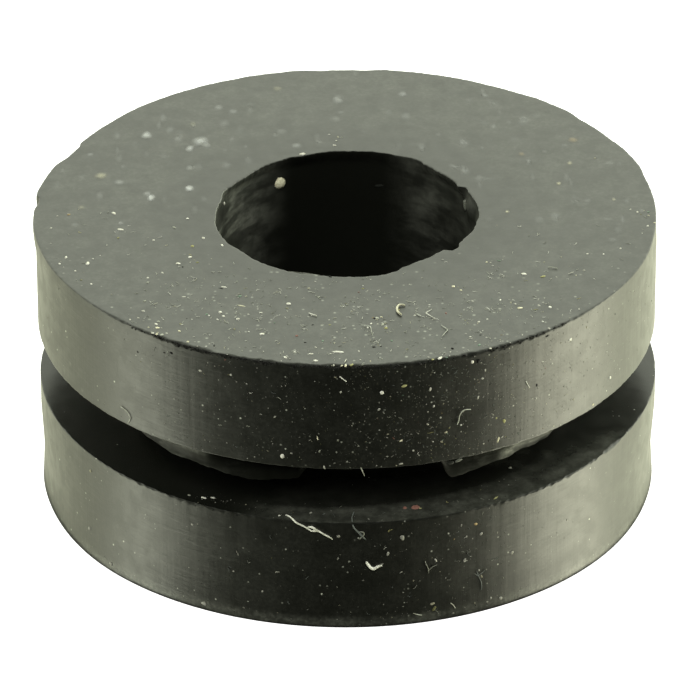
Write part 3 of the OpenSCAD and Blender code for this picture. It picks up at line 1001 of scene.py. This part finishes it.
crumbs = {
    "crumbsTop": ("top", 0.8, [
        (5.5, 6.32, 0.09, 0.05, 0, "dark"), (7, 6.3, 0.05, 0.04, 30, "dark"),
        (-1.6, 6.51, 0.28, 0.08, -5, "white"), (-6.8, 6.64, 0.1, 0.06, 10, "white"),
        (-10, 6.6, 0.06, 0.04, 0, "white"), (-16.6, 4.52, 0.11, 0.11, 0, "white"),
        (-38, 4.58, 0.12, 0.03, 20, "dark"), (-38, 4.5, 0.14, 0.05, 20, "white"),
        (-9, 4.9, 0.09, 0.03, 60, "white"), (-29.4, 5.6, 0.08, 0.06, 0, "white"),
        (-25.8, 5.57, 0.1, 0.08, 0, "white"), (-28, 5, 0.2, 0.04, 8, "cream"),
        (-10.8, 5.88, 0.07, 0.06, 0, "red"),
        (-4, 5.3, 0.05, 0.04, 0, "yellow"), (14.3, 4.76, 0.07, 0.05, 40, "yellow"),
        (17.5, 5.1, 0.06, 0.04, 0, "white"), (5, 5.45, 0.06, 0.05, 0, "white"),
        (29.8, 5.95, 0.06, 0.05, 0, "white"), (32, 5.95, 0.05, 0.04, 0, "white"),
        (52.8, 4, 0.05, 0.05, 0, "cream"), (69.6, 5.85, 0.05, 0.05, 0, "white"),
        (70.7, 6.2, 0.06, 0.04, 0, "white"), (74, 6.5, 0.06, 0.05, 0, "white"),
        (84, 6.95, 0.07, 0.05, 0, "white"), (89.5, 6.7, 0.07, 0.05, 0, "white"),
        (-65, 3.87, 0.09, 0.08, 0, "yellow"), (-69.4, 6.95, 0.07, 0.06, 0, "white"),
        (-67.3, 6.38, 0.07, 0.06, 0, "white"), (-65.6, 6.74, 0.06, 0.05, 0, "white"),
        (-59.5, 6.68, 0.07, 0.05, 0, "white"), (-55.2, 5.46, 0.07, 0.05, 0, "white"),
        (-73, 4.6, 0.06, 0.06, 0, "white"), (-69, 3.5, 0.08, 0.07, 0, "white"),
        (-160, 2.98, 0.14, 0.1, 0, "white")]),
    "crumbsUpperWall": ("wall", 0.9, [
        (-11.6, 4.42, 0.1, 0.11, 0, "white"), (6.3, 6.1, 0.09, 0.1, 0, "white"),
        (-1, 6.15, 0.05, 0.06, 0, "ash"), (25, 6.1, 0.06, 0.06, 0, "ash"),
        (10.3, 6.23, 0.14, 0.06, 12, "yellow"), (29.5, 4.85, 0.07, 0.1, 10, "yellow"),
        (27.9, 4.98, 0.04, 0.05, 0, "yellow"), (9.7, 4.83, 0.09, 0.04, 30, "cream"),
        (28.3, 4.41, 0.05, 0.16, -15, "cream"), (9.7, 4.23, 0.1, 0.04, 0, "ash"),
        (44.4, 6.3, 0.1, 0.07, 20, "white"), (56.6, 4.64, 0.08, 0.08, 0, "white"),
        # the white grain at 23 degrees and the dark one at 24.2 degrees, 6.6 mm up, paint a pit's
        # highlight and the shade inside it
        (51.2, 4.25, 0.07, 0.05, 0, "cream"), (23, 6.58, 0.07, 0.09, 0, "white"),
        (24.2, 6.56, 0.09, 0.11, 0, "dark"), (-40.7, 6.19, 0.06, 0.05, 0, "dark"),
        (-33.1, 6.49, 0.09, 0.07, -10, "dark"), (-34.5, 6.44, 0.06, 0.04, 0, "dark"),
        (20.9, 5.02, 0.05, 0.05, 0, "ash"), (36.5, 5.5, 0.05, 0.06, 0, "dark"),
        (17, 5.3, 0.05, 0.05, 0, "ash"), (-27, 6.25, 0.1, 0.05, 5, "ash"),
        (-21, 6.32, 0.06, 0.05, 0, "ash"), (-5.2, 4.95, 0.03, 0.1, 10, "cream"),
        (12, 4.55, 0.05, 0.05, 0, "ash"), (40, 5.9, 0.06, 0.05, 0, "ash"),
        (20.5, 4.1, 0.2, 0.07, 15, "pale"), (18.9, 4.08, 0.18, 0.1, 5, "dim")]),
    "crumbsLowerWall": ("wall", 0.36, [
        (10, 2.3, 0.1, 0.13, 20, "white"),
        (7.4, 1.9, 0.06, 0.11, -15, "white"), (-1.5, 2.4, 0.08, 0.07, 0, "white"),
        (15.6, 0.47, 0.12, 0.06, 10, "cream"), (15.9, 0.33, 0.06, 0.13, -35, "yellow"),
        (31.5, 1.32, 0.09, 0.1, 0, "white"), (21.8, 1.45, 0.07, 0.09, -20, "white"),
        (-29.2, 2.17, 0.07, 0.05, 0, "white"), (-55.8, 0.72, 0.1, 0.09, 0, "white"),
        (-48.8, 0.2, 0.12, 0.1, 0, "white"), (-26.8, 0.18, 0.14, 0.09, 0, "white"),
        (-21, 1.2, 0.05, 0.05, 0, "white"), (-15.5, 0.8, 0.05, 0.05, 0, "white"),
        (-55, 2.3, 0.08, 0.07, 0, "cream"), (29, 0.22, 0.1, 0.09, 0, "white"),
        (25, 2.05, 0.07, 0.09, -25, "white"), (19.5, 0.13, 0.08, 0.06, 0, "grey"),
        (27, 0.3, 0.06, 0.07, 0, "white"), (24.7, 1.1, 0.05, 0.06, 0, "white")]),
    "crumbOrange": ("wall", 0.8, [(24, 2.35, 0.08, 0.07, 0, "orange")]),
    "crumbsLedge": ("ledge", 0.8, [
        (11.4, 6.62, 0.1, 0.1, 0, "red"), (13.4, 6.66, 0.18, 0.18, 10, "red"),
        (14.3, 6.72, 0.07, 0.05, 0, "yellow"), (-28.1, 6.84, 0.12, 0.06, 0, "white"),
        (29, 6.93, 0.16, 0.05, 25, "yellow"), (38, 6.02, 0.08, 0.07, 0, "white"),
        (-31, 6.9, 0.07, 0.05, 0, "grey"), (-12.5, 6.98, 0.06, 0.05, 0, "white")]),
    "crumbsBore": ("bore", 0.9, [
        (-149, 6.16, 0.29, 0.3, 20, "cream"), (-109.5, 6.46, 0.1, 0.09, 0, "white"),
        # the pale flake at 112.5 degrees paints the lit facet of the chip in the mouth
        (165, 5.9, 0.24, 0.08, 12, "dim"), (112.5, 6.33, 0.2, 0.32, 10, "pale")]),
}


crumbShape = {"thickness": 0.5, "uneven": 0.35, "bumps": 0.05}


def makeCrumbs(name, surface, strength, bits, c):
    bm = bmesh.new()
    tintLayer = bm.verts.layers.float_color.new("tint")
    for angle, place, length, width, turn, tint in bits:
        matrix = seat(surface, angle, place) @ Matrix.Rotation(math.radians(turn), 4, "Z")
        thick = min(length, width) * c["thickness"]
        shape = Matrix.Diagonal((length * mm, width * mm, thick * mm, 1))
        lump = bmesh.ops.create_icosphere(bm, subdivisions=2, radius=0.5, matrix=matrix @ shape)
        centre = matrix.translation
        for vert in lump["verts"]:
            bump = noise.noise(vert.co / (c["bumps"] * mm) + Vector((angle, place, 0)))
            uneven = 1 + c["uneven"] * bump
            vert.co = centre + (vert.co - centre) * uneven
            vert[tintLayer] = (*[share * strength for share in tints[tint]], 1)
    finishDirt(bm, name)


for name, group in crumbs.items():
    makeCrumbs(name, *group, crumbShape)
print("crumbs ready")


# Spots: flat smears of pale dust on the back of the top face, which fade out at their edges

# angle, radius, width, length, how strong, tint
spots = [
    (89.4, 3.7, 0.12, 0.1, 0.8, "cream"), (105, 5.1, 0.14, 0.12, 0.7, "cream"),
    (114, 5.7, 0.15, 0.12, 0.6, "cream"), (124, 4.95, 0.18, 0.14, 0.35, "amber"),
    (123, 6.35, 0.28, 0.16, 0.45, "amber"), (167, 5.95, 0.26, 0.22, 0.35, "cool"),
    (-151.5, 5.6, 0.24, 0.2, 0.25, "cool"), (-178, 5.5, 0.3, 0.24, 0.42, "cool"),
    (-149.6, 5.95, 0.24, 0.2, 0.3, "cool"), (-128.6, 6, 0.28, 0.25, 0.85, "cool"),
    (-135, 4.84, 0.46, 0.3, 0.72, "cool"), (-130, 4.78, 0.24, 0.22, 0.65, "cool"),
    (-132, 5.3, 0.26, 0.24, 0.2, "cool"), (-134.5, 4.6, 0.3, 0.2, 0.3, "cool"),
    (-107, 3.8, 0.25, 0.2, 1, "cool"), (-98.5, 4.56, 0.22, 0.22, 1, "cool"),
    (-100.5, 4.68, 0.26, 0.18, 0.35, "cool"), (-107, 5.95, 0.34, 0.2, 0.6, "cream"),
    (-105, 5.45, 0.3, 0.16, 0.35, "cool"), (-120, 4.2, 0.22, 0.18, 0.3, "cool"),
    (140, 5.4, 0.18, 0.16, 0.25, "cool"), (-165, 6.3, 0.26, 0.2, 0.25, "cream"),
    (150, 6.6, 0.2, 0.16, 0.25, "cool"), (95, 6.2, 0.12, 0.1, 0.5, "cream"),
    (-140, 5.6, 0.2, 0.2, 0.2, "cream"), (-160, 3.4, 0.3, 0.2, 0.3, "cool"),
    (-84, 5.2, 0.16, 0.12, 0.3, "cool"), (-92, 6.1, 0.2, 0.14, 0.3, "cream"),
    (-115, 6.6, 0.2, 0.14, 0.25, "cool"),
]
spotFinish = {"rings": 7, "sides": 16, "lift": 0.002, "dome": 0.05, "grow": 1.1, "drawnOut": 1.8,
              "uneven": 0.3, "bumps": 3, "cover": 0.55, "faint": 90, "roughness": 0.8,
              "specular": 0.2, "fine": 30000.0, "coarse": 12000.0, "shade": (0.8, 0.79, 0.74, 1),
              "depth": 0}


def makeSpots(places, f):
    bm = bmesh.new()
    tintLayer = bm.verts.layers.float_color.new("tint")
    fade = bm.verts.layers.float.new("fade")
    for angle, place, width, length, strength, tint in places:
        matrix = seat("top", angle, place, f["lift"]) @ Matrix.Rotation(-math.radians(angle), 4, "Z")
        whole = bmesh.ops.create_circle(bm, cap_ends=False, segments=f["sides"], radius=0.5)["verts"]
        rim = list({edge for vert in whole for edge in vert.link_edges})
        for vert in whole:
            vert[fade] = 0
        for step in range(1, f["rings"] + 1):
            grown = bmesh.ops.extrude_edge_only(bm, edges=rim)["geom"]
            loop = [item for item in grown if isinstance(item, bmesh.types.BMVert)]
            rim = [item for item in grown if isinstance(item, bmesh.types.BMEdge)]
            share = 1 - step / (f["rings"] + 1)
            for vert in loop:
                vert.co = vert.co.normalized() * 0.5 * share
                vert.co.z = f["dome"] * math.sqrt(1 - share * share)
                vert[fade] = f["cover"] * strength * smooth(0, 1, 1 - share)
            whole = whole + loop
        bmesh.ops.contextual_create(bm, geom=rim)
        for vert in whole:
            bump = noise.noise(vert.co * f["bumps"] + Vector((angle, place, 0)))
            uneven = 1 + f["uneven"] * bump
            x, y, z = vert.co
            spread = Vector((x * width, y * length * f["drawnOut"], z * width)) * uneven
            vert.co = matrix @ (spread * f["grow"] * mm)
            vert[tintLayer] = (*tints[tint], 1)
    bmesh.ops.recalc_face_normals(bm, faces=bm.faces)
    for face in bm.faces:
        if face.normal.z < 0:
            face.normal_flip()
        face.smooth = True
    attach(meshObject(bm, "paleSpots", [makeSpotMaterial(f)]), "root")


def makeSpotMaterial(f):
    material, tree, shader = makePowder("paleSpot", f)
    fade = addNode(tree, "ShaderNodeAttribute", attribute_name="fade").outputs["Fac"]
    tree.links.new(fade, shader.inputs["Alpha"])
    return material


for _ in range(spotFinish["faint"]):
    spots.append((rng.uniform(75, 285), rng.uniform(3.3, 6.9), rng.uniform(0.1, 0.3),
                  rng.uniform(0.1, 0.3), rng.uniform(0.05, 0.17), "cool"))
makeSpots(spots, spotFinish)
print("spots ready")


# Dark grit packed along the edges, as painted shade under the rim and as grime on the lower flange:
# number, first and last angle, where it is thickest, height, spread in height, size of the grit
grimeAndShadeLines = {
    # dark grit under the rim's front edge: painted shade of the crevice below the rim
    "rimShadeLine": (480, -44, 44, (-34, -14), height - 0.01, 0.04, 0.028),
    "edgeGrime": (170, -38, 0, (-32, -14), 2.7, 0.016, 0.018),
}


grit = {"packed": 0.4, "spread": 0.4, "lift": -0.012, "turn": 0.6, "longest": 2.4}


def makeGrimeAndShadeLine(name, strip, g, rng):
    count, first, last, thickest, place, spread, usual = strip
    bm = bmesh.new()
    tintLayer = bm.verts.layers.float_color.new("tint")
    for _ in range(count):
        angle = rng.uniform(first, last)
        if rng.random() < g["packed"]:
            angle = rng.uniform(*thickest)
        z = place - abs(rng.gauss(0, spread))
        size = usual * math.exp(rng.gauss(0, g["spread"]))
        turn = Matrix.Rotation(rng.uniform(-g["turn"], g["turn"]), 4, "Z")
        matrix = seat("wall", angle, z, g["lift"]) @ turn
        lay(bm, tintLayer, matrix, (size * rng.uniform(1, g["longest"]), size, size), "dark")
    finishDirt(bm, name)


for name, strip in grimeAndShadeLines.items():
    makeGrimeAndShadeLine(name, strip, grit, rng)
print("grime ready")


# Threads: a few plain lint threads in their own places, and many short faint hairs

threadFinishes = {
    "lintWhite": {"color": (0.88, 0.89, 0.80, 1), "roughness": 0.6},
    "lintGrey": {"color": (0.5, 0.52, 0.45, 1), "roughness": 0.7},
    "lintCream": {"color": (0.64, 0.62, 0.47, 1), "roughness": 0.6},
    "lintYellow": {"color": (0.55, 0.52, 0.22, 1), "roughness": 0.6},
    "lintFaint": {"color": (0.15, 0.168, 0.16, 1), "roughness": 0.7},
    "lintDim": {"color": (0.27, 0.28, 0.24, 1), "roughness": 0.7},
}


threadPowder = {"specular": 0.3, "fine": 50000.0, "coarse": 9000.0,
                "shade": (0.6, 0.6, 0.55, 1), "depth": 0.002}
threadMaterials = [makePowder(name, {**threadPowder, **f})[0] for name, f in threadFinishes.items()]
threadKinds = list(threadFinishes)


def startThreads(name):
    # the materials come first, or each thread would fall back to the first of them
    curve = bpy.data.curves.new(name, "CURVE")
    curve.dimensions = "3D"
    curve.bevel_depth = mm
    curve.bevel_resolution = 1
    curve.resolution_u = 3
    curve.use_fill_caps = True
    for material in threadMaterials:
        curve.materials.append(material)
    return curve


def addThread(curve, points, kind):
    # points: place in space, radius
    spline = curve.splines.new("NURBS")
    spline.points.add(len(points) - 1)
    spline.order_u = 3
    spline.use_endpoint_u = True
    spline.material_index = threadKinds.index(kind)
    for made, (co, radius) in zip(spline.points, points):
        made.co = (*co, 1)
        made.radius = radius


def finishThreads(curve, name):
    # the curve becomes a plain mesh, so that the piece carries no live settings
    holder = bpy.data.objects.new(name + "Line", curve)
    scene.collection.objects.link(holder)
    evaluated = holder.evaluated_get(bpy.context.evaluated_depsgraph_get())
    mesh = bpy.data.meshes.new_from_object(evaluated)
    bpy.data.objects.remove(holder)
    mesh.name = name
    for face in mesh.polygons:
        face.use_smooth = True
    piece = bpy.data.objects.new(name, mesh)
    scene.collection.objects.link(piece)
    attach(piece, "root")


# Each thread: kind, then surface, angle, place, lift off the surface and radius of each point
lint = {
    "forkedLint": [
        ("lintWhite", [("ledge", -11.3, 6.96, 0.02, 0.015), ("ledge", -10.4, 7.02, 0.04, 0.019),
                       ("wall", -9.2, 2.74, 0.05, 0.019), ("wall", -7.9, 2.66, 0.03, 0.019),
                       ("wall", -6.8, 2.58, 0.03, 0.020), ("wall", -6.3, 2.53, 0.03, 0.015)]),
        ("lintWhite", [("wall", -7.0, 2.63, 0.03, 0.020), ("wall", -6.3, 2.66, 0.04, 0.025),
                       ("wall", -5.6, 2.58, 0.04, 0.029), ("wall", -4.8, 2.52, 0.03, 0.019),
                       ("wall", -3.7, 2.43, 0.03, 0.019), ("wall", -3.0, 2.39, 0.03, 0.015),
                       ("wall", -2.6, 2.33, 0.02, 0.010)]),
        ("lintWhite", [("wall", -6.3, 2.53, 0.03, 0.013), ("wall", -5.9, 2.54, 0.03, 0.024),
                       ("wall", -5.3, 2.56, 0.04, 0.025), ("wall", -4.9, 2.54, 0.03, 0.015)])],
    "hookedFibre": [
        ("lintFaint", [("ledge", 1.4, 6.7, 0.02, 0.011), ("ledge", 1.0, 6.9, 0.04, 0.013),
                       ("ledge", 0.9, 7.02, 0.04, 0.013), ("wall", 1.1, 2.68, 0.03, 0.014),
                       ("wall", 1.6, 2.58, 0.03, 0.017), ("wall", 2.4, 2.48, 0.03, 0.024),
                       ("wall", 2.8, 2.4, 0.03, 0.024), ("wall", 3.4, 2.32, 0.02, 0.012)]),
        ("lintDim", [("wall", 2.1, 2.52, 0.03, 0.012), ("wall", 2.8, 2.55, 0.04, 0.014),
                     ("wall", 3.2, 2.47, 0.04, 0.014), ("wall", 2.6, 2.4, 0.03, 0.014),
                     ("wall", 2.3, 2.33, 0.02, 0.010)])],
    "bentFlake": [
        ("lintWhite", [("wall", 3.5, 1.73, 0.02, 0.026), ("wall", 3.8, 1.66, 0.03, 0.034),
                       ("wall", 4.4, 1.56, 0.03, 0.036), ("wall", 4.9, 1.54, 0.03, 0.036),
                       ("wall", 5.5, 1.61, 0.03, 0.03), ("wall", 6.3, 1.62, 0.02, 0.022)])],
    "curledFibre": [
        ("lintGrey", [("wall", 20.1, 5.06, 0.02, 0.01), ("wall", 20.4, 5.13, 0.02, 0.011),
                      ("wall", 20.4, 5.26, 0.03, 0.011), ("wall", 20.9, 5.38, 0.03, 0.011),
                      ("wall", 21.6, 5.42, 0.03, 0.011), ("wall", 22.7, 5.38, 0.02, 0.01)])],
    "paleCurl": [
        ("lintGrey", [("wall", -45.2, 4.56, 0.02, 0.009), ("wall", -44, 4.54, 0.02, 0.01),
                      ("wall", -43, 4.46, 0.02, 0.01), ("wall", -42.7, 4.34, 0.02, 0.01),
                      ("wall", -43.4, 4.22, 0.02, 0.008)])],
    "forkedFibre": [
        ("lintDim", [("wall", 14.2, 1.62, 0.02, 0.008), ("wall", 14.5, 1.5, 0.02, 0.01),
                     ("wall", 14.9, 1.4, 0.02, 0.013), ("wall", 14.9, 1.28, 0.01, 0.007)]),
        ("lintDim", [("wall", 15, 1.38, 0.02, 0.007), ("wall", 15.8, 1.47, 0.02, 0.006),
                     ("wall", 16.5, 1.47, 0.01, 0.005)])],
    "splitFibre": [
        ("lintFaint", [("wall", 24.2, 1.1, 0.02, 0.007), ("wall", 24.4, 0.98, 0.02, 0.011),
                       ("wall", 24.9, 0.86, 0.02, 0.01), ("wall", 25.2, 0.7, 0.02, 0.009),
                       ("wall", 25.1, 0.58, 0.01, 0.007)]),
        ("lintFaint", [("wall", 24.5, 0.97, 0.02, 0.007), ("wall", 25.2, 1.02, 0.02, 0.006),
                       ("wall", 25.9, 1.07, 0.01, 0.005)]),
        ("lintFaint", [("wall", 24.4, 0.97, 0.02, 0.007), ("wall", 23.7, 1.06, 0.02, 0.006)])],
    "wallHairs": [
        ("lintGrey", [("wall", 12, 0.3, 0.02, 0.008), ("wall", 12.8, 0.25, 0.02, 0.01),
                      ("wall", 13.6, 0.22, 0.02, 0.012)]),
        ("lintGrey", [("wall", 19, 0.42, 0.02, 0.01), ("wall", 19.6, 0.36, 0.02, 0.012),
                      ("wall", 19.9, 0.26, 0.01, 0.009)]),
        ("lintWhite", [("wall", 34, 5.72, 0.02, 0.008), ("wall", 34.3, 5.62, 0.02, 0.011),
                       ("wall", 34.8, 5.52, 0.02, 0.009)]),
        ("lintGrey", [("wall", 2.5, 4.2, 0.02, 0.009), ("wall", 2.9, 4.08, 0.02, 0.011),
                      ("wall", 3.2, 3.98, 0.02, 0.008)]),
        ("lintWhite", [("wall", -1.2, 6.55, 0.02, 0.01), ("wall", -0.7, 6.5, 0.03, 0.013),
                       ("wall", 0, 6.42, 0.02, 0.008)])],
    "topFibres": [
        ("lintGrey", [("top", 59.5, 5.3, 0.02, 0.008), ("top", 60.2, 5.42, 0.03, 0.01),
                      ("top", 60, 5.52, 0.02, 0.008)]),
        ("lintWhite", [("top", 59.2, 5.85, 0.02, 0.006), ("top", 60.2, 5.92, 0.03, 0.008)]),
        ("lintCream", [("top", 16.5, 4.64, 0.02, 0.017), ("top", 15.2, 4.57, 0.04, 0.024),
                       ("top", 13.9, 4.7, 0.04, 0.026), ("top", 13.4, 4.94, 0.04, 0.028),
                       ("top", 14.2, 5.04, 0.03, 0.021)]),
        ("lintWhite", [("top", 22.5, 5, 0.02, 0.005), ("top", 20.3, 5.12, 0.03, 0.008),
                       ("top", 20.3, 5.14, 0.03, 0.008), ("top", 21.5, 5.43, 0.02, 0.006)]),
        ("lintGrey", [("top", 17.8, 5.04, 0.02, 0.008), ("top", 18.7, 5.2, 0.02, 0.01)]),
        ("lintGrey", [("top", 21.6, 5.74, 0.02, 0.006), ("top", 22.2, 5.98, 0.02, 0.01),
                      ("top", 22.1, 6.01, 0.02, 0.01), ("top", 20, 6.22, 0.02, 0.006)]),
        ("lintGrey", [("top", 3.6, 5.33, 0.02, 0.006), ("top", 5.6, 5.41, 0.02, 0.008),
                      ("top", 5.7, 5.44, 0.02, 0.008), ("top", 5.7, 5.82, 0.02, 0.005)]),
        ("lintWhite", [("top", -9.9, 4.86, 0.02, 0.01), ("top", -7.7, 4.96, 0.02, 0.012)]),
        ("lintWhite", [("top", 0, 6.86, 0.02, 0.009), ("top", -0.3, 7.0, 0.03, 0.011)])],
    "mouthSliver": [
        ("lintDim", [("top", -25, 3.1, -0.004, 0.003), ("top", -21, 3.085, 0, 0.006),
                     ("top", -16, 3.045, 0, 0.006), ("top", -11, 3.06, -0.004, 0.003)]),
        ("lintDim", [("top", -20, 3.15, -0.002, 0.003), ("top", -17, 3.13, 0, 0.005),
                     ("top", -12, 3.11, -0.002, 0.003)])],
}


def makeLint(name, threads):
    curve = startThreads(name)
    for kind, places in threads:
        points = [(seat(surface, angle, place, lift).translation, radius)
                  for surface, angle, place, lift, radius in places]
        addThread(curve, points, kind)
    finishThreads(curve, name)


for name, threads in lint.items():
    makeLint(name, threads)
print("lint ready")


# Hairs: surface, first and last angle, lowest and highest place, number, share in each tuft
hairs = {
    "radius": (0.002, 0.0042), "length": (0.04, 0.18), "bend": 0.75, "steps": 6, "spread": 0.05,
    "lift": 0.006, "tip": 0.6,
    "hairsTop": [("top", -50, 50, 3.2, 7, 230, 1), ("top", -50, 50, 4, 7, 60, 4),
                 ("top", -90, -50, 4, 7, 24, 1), ("top", 50, 90, 4, 7, 26, 1)],
    "hairsWall": [("wall", -35, 38, 4.3, 6.6, 44, 1), ("wall", 5, 35, 4.3, 6.6, 12, 3),
                  ("wall", -25, 35, 0.1, 2.6, 26, 1), ("wall", 5, 30, 0.1, 2.5, 7, 3),
                  ("ledge", -20, 40, 6.4, 7, 8, 1)],
    "kinds": {"hairsTop": (9, 9, 1, 0.5, 0, 3), "hairsWall": (1, 2, 0, 0.3, 7, 5)},
}


def makeHairs(name, h, rng):
    curve = startThreads(name)
    for surface, first, last, low, high, count, share in h[name]:
        for _ in range(count):
            middle = Vector((rng.uniform(first, last), rng.uniform(low, high)))
            for _ in range(share):
                aside, along = [rng.gauss(0, h["spread"]) * min(share - 1, 1) for _ in "xy"]
                angle = middle.x + math.degrees(aside / aboutWall)
                matrix = seat(surface, angle, middle.y + along, h["lift"])
                heading, length = rng.uniform(0, math.tau), rng.uniform(*h["length"])
                radius = rng.uniform(*h["radius"])
                steps, at, points = h["steps"], Vector((0, 0, 0)), []
                for step in range(steps):
                    thinned = h["tip"] if step in (0, steps - 1) else 1
                    points.append((matrix @ (at * mm), radius * thinned))
                    heading += rng.gauss(0, h["bend"])
                    at = at + Vector((math.cos(heading), math.sin(heading), 0)) * length / steps
                addThread(curve, points, rng.choices(threadKinds, h["kinds"][name])[0])
    finishThreads(curve, name)


for name in ("hairsTop", "hairsWall"):
    makeHairs(name, hairs, rng)
print("hairs ready")
